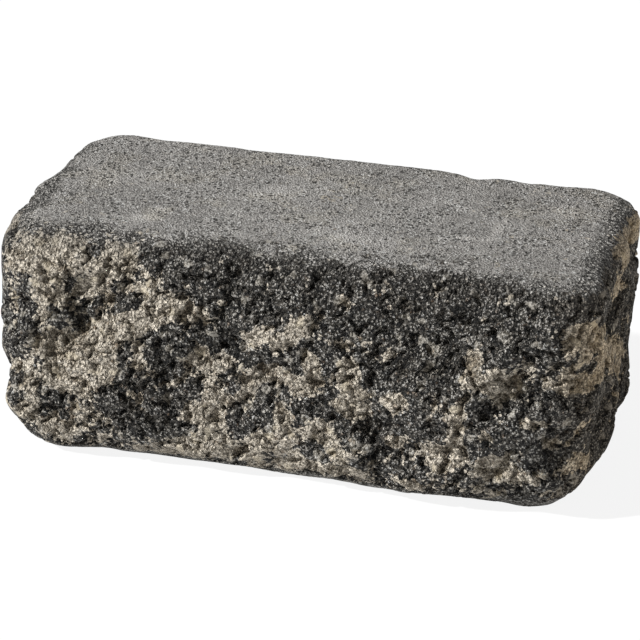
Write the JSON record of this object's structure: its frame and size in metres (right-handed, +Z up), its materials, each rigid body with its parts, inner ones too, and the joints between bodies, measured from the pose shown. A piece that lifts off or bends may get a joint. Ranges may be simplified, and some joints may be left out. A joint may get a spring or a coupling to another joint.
{
  "type": "garden wall block",
  "caption": "Tumbled concrete block for a low garden wall, with a smooth flat top and bed, rough split sides and worn round edges",
  "frame": {"origin": "middle of the flat bed, on the floor", "axes": "+X along the wall to the right as seen from the front, +Y from the front face to the back, +Z up"},
  "size_m": [0.3, 0.15, 0.12],
  "materials": {
    "mottled_concrete": "dry-cast concrete in charcoal and tan, smooth and mid-grey on the moulded top and bed, rough and granular where it is split"
  },
  "bodies": {
    "root": {"garden_wall_block": "mottled_concrete"}
  },
  "joints": []
}
